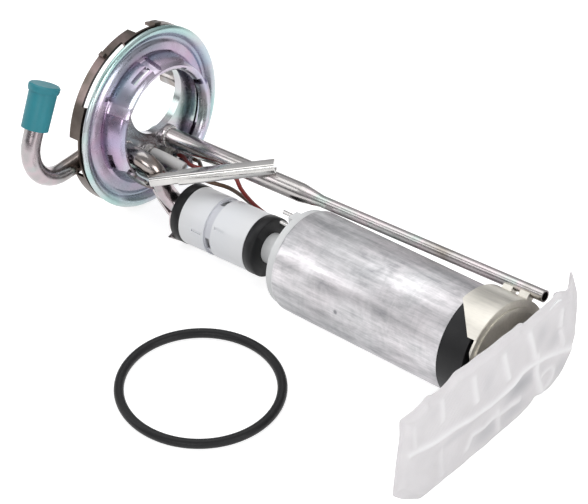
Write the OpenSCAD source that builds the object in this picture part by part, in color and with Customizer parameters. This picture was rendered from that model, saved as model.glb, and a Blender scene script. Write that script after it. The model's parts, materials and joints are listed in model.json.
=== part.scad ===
// In-tank electric fuel pump on its hanger, lying on a table beside its loose seal ring.
// Row frame: Z = 0 is the table, +X runs level from the flange towards the strainer,
// -Y is the side of the damper bracket and the seal ring, origin under the middle of the box.
// The hanger is drawn about the flange centre with x along the flange axis, z up,
// and is then tipped by a few degrees until skirt and strainer both touch the table.

/* [Flange] */
// Radius of the flange rim
flange_r = 39.6; // [38:0.1:41]
// Width of the rim bead, from the rim to the pressed groove
rim_w = 5.4; // [5.2:0.1:5.8]
// Width of the flat land, from the groove to the collar
land_w = 6.2; // [5.8:0.1:6.6]
// How much the collar narrows towards its crown
collar_flare = 2.4; // [2:0.1:2.8]
// Height of the collar over the land
collar_h = 10; // [9:0.25:11]
// Radius of the level sender opening
sender_r = 15.2; // [14:0.2:15.6]
// Sideways place of the sender opening
sender_y = 2.4; // [0:0.2:2.6]
// Floor left between the sender opening and the collar
sender_margin = 2.3; // [2:0.1:4]

/* [Lock ring] */
// How far the bayonet skirt stays inside the rim
skirt_step = 0.4; // [0.3:0.1:1]
// Depth of the skirt behind the land
skirt_depth = 8; // [7:0.25:10]
// Thickness of the skirt
skirt_t = 1.2; // [0.8:0.1:1.5]

/* [Feed pipe] */
// Outer radius of the feed pipe
feed_r = 4; // [3.5:0.1:4.2]
// Wall of the feed pipe
feed_wall = 1; // [0.6:0.1:1.2]
// Sideways place of the feed pipe in the dish
feed_y = -18.5; // [-18.8:0.1:-18]
// Height of the feed pipe in the dish
feed_z = -5.7; // [-6:0.1:-5]
// Bend radius of the feed pipe at the dish
feed_bend_r = 10; // [9:0.25:11]
// Straight run between the dish bend and the hook
feed_run_l = 15.7; // [12:0.5:20]
// Bend radius of the hook
hook_r = 15.5; // [14:0.5:18]
// Angle turned by the hook
hook_angle = 118.6; // [100:1:130]
// Straight leg over the hook
leg_l = 21.6; // [20:0.2:26]
// Length of the dust cap
cap_l = 18.7; // [16:0.1:19]
// Running clearance of the dust cap on the pipe
cap_fit = 0.05; // [0.02:0.01:0.1]

/* [Return pipe] */
// Sideways place of the return pipe
return_y = 6.2; // [5.8:0.1:6.4]
// Height of the return pipe
return_z = -11.8; // [-12:0.1:-11.6]
// Outer radius of the wide part of the return pipe
return_r = 4.05; // [3.8:0.05:4.1]
// Outer radius of the narrow part of the return pipe
return_thin_r = 2.5; // [2.2:0.05:2.55]
// Wall of the return pipe
return_wall = 0.95; // [0.7:0.05:1.1]
// Wall of the narrow part of the return pipe
return_thin_wall = 0.6; // [0.5:0.05:0.8]
// How far the open end of the return pipe stands past the bracket
return_over = 3; // [1:0.5:4]
// Bend radius of the return nipple
nipple_bend_r = 6; // [5:0.25:7]
// Sideways run of the return nipple
nipple_run_l = 10.7; // [9:0.1:11]
// How far the return nipple ends above the return pipe
nipple_rise = 10.2; // [9:0.1:12]

/* [Damper] */
// Sideways place of the damper
damper_y = -10.4; // [-10.8:0.1:-10.2]
// Height of the damper
damper_z = -31; // [-31.3:0.1:-30.7]
// Outer radius of the rubber boots
boot_r = 12.7; // [12.4:0.1:13]
// Outer radius of the white damper halves
damper_r = 12.5; // [12.1:0.1:12.6]
// Wall of the damper halves
damper_wall = 1.5; // [1.1:0.1:1.7]
// Radius of the outlet neck
neck_r = 6.5; // [6:0.1:6.9]
// Length of the inlet half of the damper
damper_split = 15.4; // [14:0.2:20]

/* [Pump] */
// Height of the pump axis
pump_z = -28.8; // [-29.2:0.1:-28.6]
// Sideways lean of the pump against the flange axis
pump_lean = 2.5; // [2:0.1:3]
// Outer radius of the pump shell
shell_r = 21.6; // [21.4:0.1:21.8]
// Wall of the pump shell
shell_wall = 1; // [0.8:0.1:1.2]
// Length of the pump shell
shell_l = 91.3; // [91:0.1:92]
// Height of the outlet cover over the shell
cover_h = 3.7; // [3.2:0.1:4.2]

/* [Motor] */
// Radius of the armature
armature_r = 15.6; // [15:0.1:15.8]
// Length of the armature stack
stack_l = 34; // [30:1:36]
// Number of armature slots
armature_slots = 8; // [6:1:10]
// Radius of the commutator
commutator_r = 7.5; // [7:0.1:7.8]
// Radius of the motor shaft
shaft_r = 2; // [1.6:0.1:2.2]
// Running clearance of the shaft in its bearings
shaft_fit = 0.03; // [0.01:0.01:0.08]
// Radius of the turbine wheel
impeller_r = 15.8; // [15:0.1:16]
// Number of turbine vanes
vane_count = 30; // [20:1:36]

/* [Strainer] */
// Distance from the end of the pump shell to the strainer mid plane
sock_gap = 16.8; // [16.5:0.1:17.5]
// Lean of the strainer against the flange axis
sock_lean = 8.65; // [8.2:0.1:9]
// Reach of the strainer towards the camera side
sock_left = 72.3; // [66:0.5:76]
// Reach of the strainer away from the camera side
sock_right = 39.2; // [36:0.5:44]
// Reach of the strainer over the pump axis
sock_top = 23; // [22:0.25:26]
// Reach of the strainer under the pump axis
sock_bottom = 33.5; // [33.2:0.1:35]
// Half thickness of the strainer body
sock_half_t = 2.4; // [2.2:0.1:2.5]

/* [Seal ring] */
// Mean radius of the loose seal ring
seal_r = 32; // [30:0.5:34]
// Cord radius of the loose seal ring
seal_cord_r = 2; // [1.5:0.1:2.2]
// Distance of the seal ring along the table
seal_x = 99; // [95:1:103]
// Distance of the seal ring to the side
seal_y = -79; // [-84:1:-76]

/* [Hidden] */
$fn = 48;

// Radii of the pressed flange and its dish
groove_r = flange_r - rim_w;
collar_r = groove_r - land_w;
crown_r = collar_r - collar_flare;
skirt_r = flange_r - skirt_step;
dish_r = crown_r + 0.7;
sender_z = sqrt(pow(dish_r - sender_margin - sender_r, 2) - sender_y * sender_y);

// Places along the flange axis
floor_x = 1.4;
floor_t = 1;
floor_top = floor_x + floor_t;
joint_x = 80;
boot_x = 28;
boot_l = 5;
damper_l = 35;
damper_groove = 1.8;
nipple_r = return_r - return_wall;
nipple_start_x = 4;
nipple_in_l = 4.8;
nipple_drop = 0.5;
nipple_out_l = 6.2;
nipple_end_x = nipple_start_x - nipple_in_l - 2 * nipple_bend_r - nipple_out_l;

// The pipe hook outside the dish
dish_bend_x = floor_top - 0.9;
hook_x = dish_bend_x - feed_bend_r;
hook_cy = feed_y - feed_bend_r - feed_run_l;
leg_y = hook_cy - hook_r * sin(hook_angle);
leg_z = feed_z + hook_r - hook_r * cos(hook_angle);

cap_r = 6.6;
cap_edge = 0.6;
cap_over = 2;

// The offset bend between dish and damper
offset_y = damper_y - feed_y;
offset_z = feed_z - damper_z;
offset_l = norm([offset_y, offset_z]);
offset_roll = atan2(offset_y, offset_z);
offset_run = boot_x - 0.5 - 2 * feed_bend_r - floor_top - 1;

// Places along the pump axis, counted from the joint point
shell_s = 9.5 + cover_h;
shell_end = shell_s + shell_l;
bore_r = shell_r - shell_wall;
cover_end = 28;
plate_s = shell_end - 24.5;
plate_l = 11;
chamber_s = plate_s + plate_l;
chamber_l = 4;
stack_s = 36;
plug_end = shell_end + 7.5;
spigot_r = 6;
saddle_in = shell_r + 1;
saddle_out = saddle_in + 1;
saddle_s = shell_end - 4.5;
wall_s = shell_end + 10.9;
wall_end = wall_s + 1.1;
sock_s = shell_end + sock_gap;
return_end_x = joint_x + wall_end + return_over;

// The strainer plane
sock_x = joint_x + sock_s * cos(pump_lean);
sock_y = damper_y - sock_s * sin(pump_lean);
seam_half_t = 0.6;
foot_x = sock_x - sock_bottom * sin(sock_lean) + seam_half_t * cos(sock_lean);
foot_z = pump_z - sock_bottom * cos(sock_lean) - seam_half_t * sin(sock_lean);

// How the hanger lies on the table
pitch = atan((-skirt_r - foot_z) / (foot_x + skirt_depth));
rest_h = skirt_r * cos(pitch) + skirt_depth * sin(pitch);
ear_v = (sock_top + 4) * 0.82;
x_high = sock_x * cos(pitch) - pump_z * sin(pitch) + ear_v * sin(sock_lean - pitch)
    + sock_half_t * cos(sock_lean - pitch);
x_low = hook_x * cos(pitch) - (leg_z + (leg_l + cap_over - cap_edge) * sin(hook_angle)) * sin(pitch)
    - cap_r * sqrt(1 - pow(sin(pitch) * sin(hook_angle), 2));
y_high = flange_r;
y_low = seal_y - seal_r - seal_cord_r;
shift_x = -(x_low + x_high) / 2;
shift_y = -(y_low + y_high) / 2;

// Moves the hanger from its own axes to the table
module assembly() {
    translate([shift_x, shift_y, rest_h]) rotate([0, -pitch, 0]) children();
}

// Turns the drawing axis onto the flange axis, so that down is +x and y stays y
module axial(x, y = 0, z = 0) {
    translate([x, y, z]) rotate([0, 90, 0]) children();
}

// Puts children on the pump axis at a distance from the joint point
module on_pump(s = 0) {
    assembly() translate([joint_x, damper_y, pump_z]) rotate([0, 0, -pump_lean])
        rotate([0, 90, 0]) translate([0, 0, s]) children();
}

// Puts children on the strainer plane, x through the plane
module on_sock() {
    assembly() translate([sock_x, sock_y, pump_z]) rotate([0, sock_lean, 0]) children();
}

// Raises a flat outline given in y and height along the x axis
module along_x(x, t) {
    translate([x, 0, 0]) rotate([90, 0, 90]) linear_extrude(height = t) children();
}

module ring(ro, ri, h) {
    difference() {
        cylinder(r = ro, h = h);
        translate([0, 0, -1]) cylinder(r = ri, h = h + 2);
    }
}

// Part of a ring between two angles, counted from +y over +z as seen along the flange axis
module sector(a0, a1, ri, ro, h) {
    rotate([0, 0, a0 + 90]) rotate_extrude(angle = a1 - a0)
        translate([ri, 0]) square([ro - ri, h]);
}

module annulus(ro, ri) {
    difference() {
        circle(r = ro);
        circle(r = ri);
    }
}

// Chain of straight pieces [length] and bends [radius, angle, roll]
module run(ro, ri, segs, i = 0) {
    if (i < len(segs)) {
        s = segs[i];
        if (len(s) == 1) {
            linear_extrude(height = s[0]) annulus(ro, ri);
            translate([0, 0, s[0]]) run(ro, ri, segs, i + 1);
        } else {
            rotate([0, 0, s[2]]) {
                translate([s[0], 0, 0]) rotate([90, 0, 180]) rotate_extrude(angle = s[1])
                    translate([s[0], 0]) annulus(ro, ri);
                translate([s[0] * (1 - cos(s[1])), 0, s[0] * sin(s[1])]) rotate([0, s[1], 0])
                    run(ro, ri, segs, i + 1);
            }
        }
    }
}

// Smooth curve through a few guide points
function curve_point(a, b, c, d, t) =
    0.5 * (2 * b + (c - a) * t + (2 * a - 5 * b + 4 * c - d) * t * t
    + (3 * b - a - 3 * c + d) * t * t * t);
function smooth(p, m) = concat([
    for (i = [0 : len(p) - 2], k = [0 : m - 1])
        curve_point(p[max(i - 1, 0)], p[i], p[i + 1], p[min(i + 2, len(p) - 1)], k / m)
], [p[len(p) - 1]]);
function heading(p, i) = let (d = p[min(i + 1, len(p) - 1)] - p[max(i - 1, 0)]) d / norm(d);
function across(t, ref) = let (c = cross(t, ref)) c / norm(c);

// Round bar swept along a list of points, ref is a direction that the points never follow
module sweep(p, r, n = 8, ref = [0, 1, 0]) {
    polyhedron(
        points = [
            for (i = [0 : len(p) - 1], k = [0 : n - 1])
                let (t = heading(p, i), a = across(t, ref), b = cross(t, a))
                p[i] + r * (cos(360 * k / n) * a + sin(360 * k / n) * b)
        ],
        faces = concat(
            [[for (k = [0 : n - 1]) k]],
            [
                for (i = [0 : len(p) - 2], k = [0 : n - 1])
                    [i * n + k, (i + 1) * n + k, (i + 1) * n + (k + 1) % n, i * n + (k + 1) % n]
            ],
            [[for (k = [n - 1 : -1 : 0]) (len(p) - 1) * n + k]]
        )
    );
}

// One pressed sheet: rim bead, groove, land, collar and the turned in crown
flange_profile = [
    [flange_r - 0.3, -0.8], [flange_r, -0.4], [flange_r, 0.1], [flange_r - 0.5, 0.8],
    [flange_r - 1.3, 1.2], [flange_r - 2.3, 1.2],
    [flange_r - 3.4, 0.6], [groove_r + 1, -0.8], [groove_r + 0.4, -1.3],
    [groove_r - 0.4, -1.3], [groove_r - 1.2, -0.7], [groove_r - 2.2, 0],
    [collar_r + 1.4, 0], [collar_r + 0.4, 0.6], [collar_r, 1.6],
    [crown_r + 0.3, collar_h - 0.6], [crown_r - 0.2, collar_h], [crown_r - 1.2, collar_h],
    [crown_r - 2.4, collar_h - 1.2], [crown_r - 2.8, collar_h - 3.5],
    [crown_r - 1.9, collar_h - 3.5], [crown_r - 1.5, collar_h - 1.7],
    [crown_r - 0.9, collar_h - 1.1], [crown_r - 0.6, collar_h - 1.3],
    [collar_r - 1, 1.3], [collar_r - 0.5, -0.4], [collar_r + 0.8, -1.05],
    [groove_r - 2, -1.05], [groove_r - 1.2, -1.6], [groove_r - 0.6, -2.3],
    [groove_r + 0.6, -2.3], [groove_r + 1.4, -1.9], [flange_r - 2.9, -0.4],
    [flange_r - 2, 0.1], [flange_r - 1.2, -0.1], [flange_r - 1.1, -0.8]
];

// Bulge pressed outwards in the collar wall, between two angles
module collar_pad(a0, a1) {
    rotate([0, 0, a0 + 90]) rotate_extrude(angle = a1 - a0) polygon([
        [collar_r + 1.2, 0.3], [collar_r + 1.4, 1.2], [crown_r + 2, collar_h - 1.6],
        [crown_r + 1.4, collar_h - 0.7], [crown_r - 0.1, collar_h - 0.2],
        [crown_r - 0.1, collar_h - 0.7], [collar_r - 0.6, 1]
    ]);
}

module mounting_flange() {
    color("lightsteelblue") assembly() axial(0) difference() {
        union() {
            rotate_extrude() polygon(flange_profile);
            for (a = [[58, 88], [97, 138], [148, 200], [-28, 14]]) collar_pad(a[0], a[1]);
        }
        // slits through the collar wall beside the bulges
        translate([0, 0, collar_h - 5]) sector(95, 117, crown_r - 1.4, collar_r + 3, 2.6);
        translate([0, 0, 2.6]) sector(-32, 4, crown_r - 1.4, collar_r + 3, 2.6);
        translate([0, 0, 3]) sector(183, 197, crown_r - 1.4, collar_r + 3, 2.2);
        // steps in the turned in edge of the crown
        for (a = [[18, 26], [53, 61], [88, 96], [116, 124], [140, 148], [186, 210], [246, 254],
            [285, 302]]) translate([0, 0, collar_h - 4])
                sector(a[0], a[1], crown_r - 4, crown_r - 1.05, 5);
        // small locating hole in the land
        rotate([0, 0, 138 + 90]) translate([(collar_r + groove_r) / 2 - 0.5, 0, -3])
            cylinder(r = 0.9, h = 5);
    }
}

// Places of the two electric pins and the vent in the dish
pin_near = [return_y - 0.6, return_z - 7.3];
pin_far_r = dish_r - 2.9;
pin_far = [pin_far_r * sin(23.4), -pin_far_r * cos(23.4)];
vent_at = [-6, return_z - 0.8];
pin_r = 0.8;
pin_start_x = -3;
near_pin_x = 8.5;
far_pin_x = collar_h + 3.8;
insulator_r = 1.9;
vent_r = 2.3;

module sender_dish() {
    color("silver") assembly() axial(0) difference() {
        union() {
            rotate_extrude() polygon([
                [0, floor_x], [dish_r - 1, floor_x], [dish_r - 1, -2.05],
                [groove_r - 2.4, -2.05], [groove_r - 2.4, -1.05], [dish_r, -1.05],
                [dish_r, floor_top - 0.7], [dish_r - 0.7, floor_top], [0, floor_top]
            ]);
            translate([-sender_z, sender_y, -1.2]) cylinder(r = sender_r + 0.9, h = 3);
        }
        translate([-sender_z, sender_y, -3]) cylinder(r = sender_r, h = 8);
        translate([-feed_z, feed_y, -1]) cylinder(r = feed_r, h = 5);
        translate([-return_z, return_y, -1]) cylinder(r = return_r, h = 5);
        translate([-vent_at[1], vent_at[0], -1]) cylinder(r = vent_r, h = 5);
        for (p = [pin_near, pin_far])
            translate([-p[1], p[0], -1]) cylinder(r = insulator_r, h = 5);
    }
}

// Angle at which the skirt starts again beside the feed pipe
feed_pass = 180 + asin(-feed_z / skirt_r) + asin((feed_r + 0.8) / skirt_r);

module lock_ring() {
    color("rosybrown") assembly() axial(0) difference() {
        union() {
            translate([0, 0, -3.3]) ring(skirt_r, groove_r - 2.2, 1);
            translate([0, 0, -skirt_depth]) ring(skirt_r, skirt_r - skirt_t, skirt_depth - 2.5);
            // stop tab at the end of a lug and the folded pin on the free band
            translate([0, 0, -5.4]) sector(68, 73, skirt_r - 0.5, skirt_r + 1.3, 3);
            translate([0, 0, -7.4]) sector(112, 115, skirt_r - 0.5, skirt_r + 1.4, 2.6);
        }
        // gaps between the three bayonet lugs, one of them for the feed pipe
        for (g = [[73, 88], [168, feed_pass], [294, 330]])
            translate([0, 0, -skirt_depth - 1])
                sector(g[0], g[1], skirt_r - skirt_t - 0.5, skirt_r + 3, skirt_depth - 2.3);
        // long slot under the rim that leaves the upper lug as a free band
        translate([0, 0, -4]) sector(100, 147, groove_r + 0.4, skirt_r + 1, 3);
    }
}

// Centre line of the feed pipe from the dish floor round the hook to its open end
feed_path = concat(
    [[floor_top + 1, feed_y, feed_z]],
    [for (a = [0 : 11.25 : 90])
        [dish_bend_x - feed_bend_r * sin(a), feed_y - feed_bend_r * (1 - cos(a)), feed_z]],
    [for (k = [0 : 12]) let (a = hook_angle * k / 12)
        [hook_x, hook_cy - hook_r * sin(a), feed_z + hook_r * (1 - cos(a))]],
    [[hook_x, leg_y - leg_l * cos(hook_angle), leg_z + leg_l * sin(hook_angle)]]
);
function longer(p, d) = concat([p[0] - d * heading(p, 0)], [for (i = [1 : len(p) - 2]) p[i]],
    [p[len(p) - 1] + d * heading(p, len(p) - 1)]);

module feed_pipe() {
    color("gainsboro") assembly() difference() {
        sweep(feed_path, feed_r, 24, [1, -1, -1]);
        sweep(longer(feed_path, 1), feed_r - feed_wall, 24, [1, -1, -1]);
    }
}

// Inner part of the feed line, its offset bend lies in one tilted plane
module feed_tube() {
    color("gainsboro") assembly() axial(floor_top + 1, feed_y, feed_z)
        rotate([0, 0, offset_roll]) run(feed_r, feed_r - feed_wall, [
            [offset_run], [feed_bend_r, 90, 0], [offset_l - 2 * feed_bend_r],
            [feed_bend_r, 90, 180], [5]
        ]);
}

module feed_cap() {
    color("teal") assembly() translate([hook_x, leg_y, leg_z])
        rotate([90 - hook_angle, 0, 0]) translate([0, 0, leg_l + cap_over - cap_l]) difference() {
            union() {
                cylinder(r1 = 5.65, r2 = 5.9, h = cap_l - 2.8);
                translate([0, 0, cap_l - 3]) cylinder(r1 = cap_r - 0.3, r2 = cap_r, h = 1);
                translate([0, 0, cap_l - 2]) cylinder(r = cap_r, h = 2 - cap_edge);
                translate([0, 0, cap_l - cap_edge]) cylinder(r1 = cap_r, r2 = cap_r - 0.6, h = cap_edge);
            }
            translate([0, 0, -1]) cylinder(r = feed_r + cap_fit, h = cap_l - 0.95);
        }
}

module return_pipe() {
    color("gainsboro") assembly() axial(0, return_y, return_z) rotate_extrude() polygon([
        [nipple_r, -1], [return_r, -1], [return_r, floor_top], [return_r + 0.95, floor_top],
        [return_r + 0.95, floor_top + 1], [return_r, floor_top + 1.8], [return_r, 77],
        [return_thin_r, 88], [return_thin_r, return_end_x],
        [return_thin_r - return_thin_wall, return_end_x], [return_thin_r - return_thin_wall, 88],
        [nipple_r, 77]
    ]);
}

// Swan neck behind the flange: down, across, up and outwards again
module return_nipple() {
    color("gainsboro") assembly() translate([nipple_start_x, return_y, return_z])
        rotate([0, -90, 0]) run(nipple_r, nipple_r - 1, [
            [nipple_in_l], [nipple_bend_r, 90, 180], [nipple_drop], [nipple_bend_r, 90, -90],
            [nipple_run_l], [nipple_bend_r, 90, 0], [nipple_drop + nipple_rise],
            [nipple_bend_r, 90, -90],
            [nipple_out_l]
        ]);
}

// Pressed channel from the collar to the return pipe, its back towards the camera side
brace_at = [19.1, -22.2, -12.4];
brace_turn = 33.8;
brace_l = 52.8;
brace_neck_l = 13;
brace_t = 1;
brace_w = 4.8;
brace_h = 5.2;
brace_rise = return_z + return_r + brace_h / 2 - 0.4 - brace_at[2];

// Channel outline, open towards +y, with rounded outer edges on its back
module channel(l, w, h) {
    arc = 1.3;
    along_x(0, l) difference() {
        polygon(concat(
            [for (a = [180 : 30 : 270]) [arc - w / 2 + arc * cos(a), arc - h / 2 + arc * sin(a)]],
            [[w / 2, -h / 2], [w / 2, h / 2]],
            [for (a = [90 : 30 : 180]) [arc - w / 2 + arc * cos(a), h / 2 - arc + arc * sin(a)]]
        ));
        translate([brace_t - w / 2, brace_t - h / 2]) square([w, h - 2 * brace_t]);
    }
}

module brace_channel() {
    color("whitesmoke") assembly() difference() {
        translate(brace_at) rotate([0, 0, brace_turn])
            rotate([0, -atan(brace_rise / (brace_l - 2.4)), 0]) {
                channel(brace_neck_l, brace_w - 1.2, brace_h - 0.8);
                translate([brace_neck_l - 1, 0, 0])
                    channel(brace_l - brace_neck_l + 1, brace_w, brace_h);
            }
        axial(30, return_y, return_z) cylinder(r = return_r, h = 40);
    }
}

strip_x = 11;
strip_top = crown_r - 2.4;
plate_x = boot_x - 1.2;

// Strip from the dish down to the plate behind the inlet boot
module damper_bracket() {
    color("gainsboro") assembly() difference() {
        union() {
            axial(8.6) sector(203, 262, crown_r + 0.58, crown_r + 1.8, 4.2);
            axial(8.6) sector(205, 212, crown_r + 0.58, crown_r + 1.8, 9.4);
            translate([0, -5, 0]) rotate([90, 0, 0]) linear_extrude(height = 9) polygon([
                [strip_x, -strip_top], [strip_x + 1.4, -strip_top],
                [strip_x + 3.2, damper_z + 3], [plate_x - 8.2, damper_z - 1.8],
                [plate_x - 4.4, damper_z - 4.2], [plate_x + 0.6, damper_z - 4.6],
                [plate_x + 0.6, damper_z - 5.8], [plate_x - 4.8, damper_z - 5.4],
                [plate_x - 9.2, damper_z - 2.9], [strip_x + 2, damper_z + 2.4],
                [strip_x, -strip_top - 1.6]
            ]);
            axial(plate_x, damper_y, damper_z) cylinder(r = boot_r - 1.2, h = 1.2);
            along_x(plate_x, 1.2) polygon([
                [damper_y - 3.8, damper_z - 3], [damper_y - 13.2, damper_z - 5.5],
                [damper_y - 5.8, damper_z - 12]
            ]);
        }
        axial(boot_x - 3, damper_y, damper_z) cylinder(r = feed_r + 0.6, h = 5);
        translate([boot_x - 2, -30, damper_z + 5]) cube([3, 40, 20]);
    }
}

// Pin through the dish with a small lug on the inside
module terminal(y, z, x_end) {
    axial(pin_start_x, y, z) cylinder(r = pin_r, h = x_end - pin_start_x);
    translate([x_end - 2.2, y - 1.4, z - 1.4]) cube([2.2, 2.8, 2.8]);
}

module terminal_positive() {
    color("goldenrod") assembly() terminal(pin_near[0], pin_near[1], near_pin_x);
}

module terminal_negative() {
    color("goldenrod") assembly() terminal(pin_far[0], pin_far[1], far_pin_x);
}

module terminal_insulators() {
    color("ivory") assembly() for (p = [pin_near, pin_far])
        axial(-1.6, p[0], p[1]) difference() {
            union() {
                cylinder(r = insulator_r, h = 6.2);
                translate([0, 0, floor_top + 1.6]) cylinder(r = 2.2, h = 1);
            }
            translate([0, 0, -1]) cylinder(r = pin_r, h = 9);
        }
}

module vent_hose() {
    color("dimgray") assembly() axial(-1, vent_at[0], vent_at[1])
        rotate([0, 0, 23.7]) run(vent_r, vent_r - 1, [[7.4], [58, 15.5, 0]]);
}

module vent_ferrule() {
    color("gainsboro") assembly() axial(floor_top, vent_at[0], vent_at[1]) rotate_extrude() polygon([
        [vent_r, 0], [3.3, 0], [3.3, 0.6], [2.9, 1], [3.2, 1.4], [2.9, 1.8],
        [3.2, 2.2], [2.8, 2.6], [2.8, 3.4], [vent_r, 3.4]
    ]);
}

// Both wires run from the pins in the dish, behind the damper, to the pins on the pump cover
wire_r = 0.9;
wire_gap = 0.1;
straight = [0.8, 0, 0];
wired_pin_x = joint_x + 3.17 - wire_gap;
wired_pin_y = damper_y + 13.1;

module wire(start, guide, end) {
    sweep(concat([start], smooth(concat([start + straight], guide, [end - straight]), 3), [end]), wire_r);
}

module wire_red() {
    color("darkred") assembly() wire([near_pin_x + wire_gap, pin_near[0], pin_near[1]], [
        [11, pin_near[0], pin_near[1]], [14.4, 3.6, -18.4], [20, 0, -16.2],
        [28, -3.5, -12.8], [38, -2, -12.2], [44.6, 0.8, -13.2], [47.3, 1.2, -18.5],
        [49.6, 3.6, -25], [53, 7.4, -32], [60, 9.6, -36], [69, 9.6, -34.6],
        [76, 7.6, -27.6], [79.6, 4.2, -21.4]
    ], [wired_pin_x, wired_pin_y, pump_z + 9.6]);
}

module wire_brown() {
    color("saddlebrown") assembly() wire([far_pin_x + wire_gap, pin_far[0], pin_far[1]], [
        [16, pin_far[0], pin_far[1]], [21, 5, -18], [26.6, 0.4, -16.8], [32.6, -5.2, -15.6],
        [37, -4.2, -16.6], [40, 1.4, -21], [42, 7, -28], [48, 10.4, -35], [58, 12, -40],
        [68, 12.4, -39.4], [76, 10.2, -34.6], [79.8, 5, -27.6]
    ], [wired_pin_x, wired_pin_y, pump_z + 4.8]);
}

// Rubber cup, open towards +z, with a hole in its floor
module boot(hole_r) {
    rotate_extrude() polygon([
        [hole_r, 0], [boot_r - 0.5, 0], [boot_r, 0.6], [boot_r, boot_l - 0.4],
        [boot_r - 0.4, boot_l], [damper_r - damper_wall, boot_l],
        [damper_r - damper_wall, 2], [hole_r, 2]
    ]);
}

module boot_inlet() {
    color("black") assembly() axial(boot_x, damper_y, damper_z) boot(feed_r);
}

module boot_outlet() {
    color("black") assembly() axial(boot_x + 2 * boot_l + damper_l, damper_y, damper_z)
        rotate([180, 0, 0]) boot(neck_r);
}

// White half shell, its thin end plugs into a boot, its thick end faces the groove between the halves
module damper_half(hole_r, l, side, slot_a) {
    plug_r = damper_r - damper_wall;
    end = l + 3;
    difference() {
        rotate_extrude() polygon([
            [hole_r, 0], [plug_r, 0], [plug_r, 3], [damper_r, 3],
            [damper_r, end - damper_groove], [damper_r - 0.7, end - damper_groove],
            [damper_r - 0.7, end], [plug_r, end], [plug_r, 4.6], [9.4, 4.6], [9.4, 1.6],
            [hole_r, 1.6]
        ]);
        // moulded slot
        rotate([0, 0, side * (slot_a + 90)])
            translate([damper_r, 0, end - damper_groove - 4]) cube([1.2, 1.1, 5.2], center = true);
        // windows in the groove, open to both halves
        for (a = [82, 186, 306]) rotate([0, 0, side * (a + 90)])
            translate([plug_r - 1, -2.8, end - 1.2]) cube([4, 5.6, 3]);
    }
}

module damper_housing_inlet() {
    color("white") assembly() axial(boot_x + 2, damper_y, damper_z)
        damper_half(feed_r, damper_split, 1, 167);
}

module damper_housing_outlet() {
    color("white") assembly() axial(boot_x + 2 * boot_l + damper_l - 2, damper_y, damper_z)
        rotate([180, 0, 0]) damper_half(neck_r, damper_l - damper_split, -1, 145);
}

fold_n = 7;
fold_l = (damper_l + 2 * boot_l - 4 - 3.2 - 6.8) / (2 * fold_n);
bellows_out = concat([[9.4, 0], [9.4, 2.8]],
    [for (i = [0 : 2 * fold_n]) [i % 2 == 0 ? 8.6 : 10.2, 3.4 + i * fold_l]],
    [[9.4, 4 + 2 * fold_n * fold_l], [9.4, 6.8 + 2 * fold_n * fold_l]]);

module damper_bellows() {
    color("gray") assembly() axial(boot_x + 3.6, damper_y, damper_z) rotate_extrude()
        polygon(concat(bellows_out,
            [for (i = [len(bellows_out) - 1 : -1 : 0]) bellows_out[i] - [0.7, 0]]));
}

neck_x = boot_x + 2 * boot_l + damper_l - 4.4;

module outlet_cover() {
    color("white") difference() {
        union() {
            on_pump(9.5) cylinder(r = bore_r - 0.2, h = cover_h);
            on_pump(shell_s) difference() {
                cylinder(r = bore_r, h = cover_end - shell_s);
                translate([0, 0, 3]) cylinder(r = bore_r - 2, h = 30);
            }
            on_pump(shell_s) cylinder(r = 6, h = 6.4);
            assembly() axial(neck_x, damper_y, damper_z) cylinder(r = neck_r, h = joint_x + 10 - neck_x);
            // raised block that carries the upper pins, and the shelf of the wired pins
            on_pump(7) translate([-20.2, -2.6, 0]) cube([8.2, 5, 3]);
            on_pump(6.5) translate([-11.4, 11, 0]) cube([8.2, 4.4, 3.5]);
            // brush holders on the inner face
            for (side = [0, 180]) on_pump(shell_s) rotate([0, 0, side])
                translate([9.2, -3.6, 2]) cube([bore_r - 11, 7.2, cover_end - shell_s - 3]);
        }
        assembly() axial(neck_x - 1, damper_y, damper_z) cylinder(r = 3.6, h = 17.4);
        assembly() axial(neck_x - 1, damper_y, damper_z) cylinder(r = 2.2, h = 30);
        on_pump(shell_s + 1.2) cylinder(r = 4.5, h = 20);
        for (side = [0, 180]) on_pump(20.4) rotate([0, 0, side])
            translate([8, -2.2, 0]) cube([bore_r - 10.4, 4.4, 5.6]);
        for (p = [[-18.3, 1], [-13.9, -0.5], [-9.6, 13.2], [-4.8, 13.2]])
            on_pump(0) translate([p[0], p[1], 0]) cylinder(r = 0.8, h = 14);
    }
}

module cover_terminals() {
    color("goldenrod") {
        on_pump(1) translate([-18.3, 1, 0]) cylinder(r = 0.8, h = 12.6);
        on_pump(0.4) translate([-13.9, -0.5, 0]) cylinder(r = 0.8, h = 13.2);
        for (p = [-9.6, -4.8]) on_pump(2.6) translate([p, 13.2, 0]) cylinder(r = 0.8, h = 11);
    }
}

valve_x = neck_x + 8;

module check_valve() {
    color("saddlebrown") assembly() axial(valve_x, damper_y, damper_z) {
        cylinder(r = 1.2, h = 4.6);
        translate([0, 0, 4.4]) cylinder(r = 3.2, h = 1.4);
        translate([0, 0, 5.8]) cylinder(r1 = 3.2, r2 = 1.9, h = 2.2);
    }
}

module check_spring() {
    color("silver") assembly() for (i = [0 : 3])
        axial(valve_x + 0.9 + i * 0.75, damper_y, damper_z) rotate_extrude()
            translate([2.2, 0]) circle(r = 0.35);
}

module pump_shell() {
    color("silver") on_pump(shell_s) rotate_extrude() polygon([
        [bore_r, 0], [shell_r - 0.7, 0], [shell_r - 0.2, 0.3], [shell_r, 0.9],
        [shell_r, shell_l - 0.5], [shell_r - 0.4, shell_l], [bore_r, shell_l]
    ]);
}

module flux_ring() {
    color("dimgray") on_pump(cover_end) ring(bore_r, bore_r - 1.7, plate_s - cover_end);
}

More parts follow.
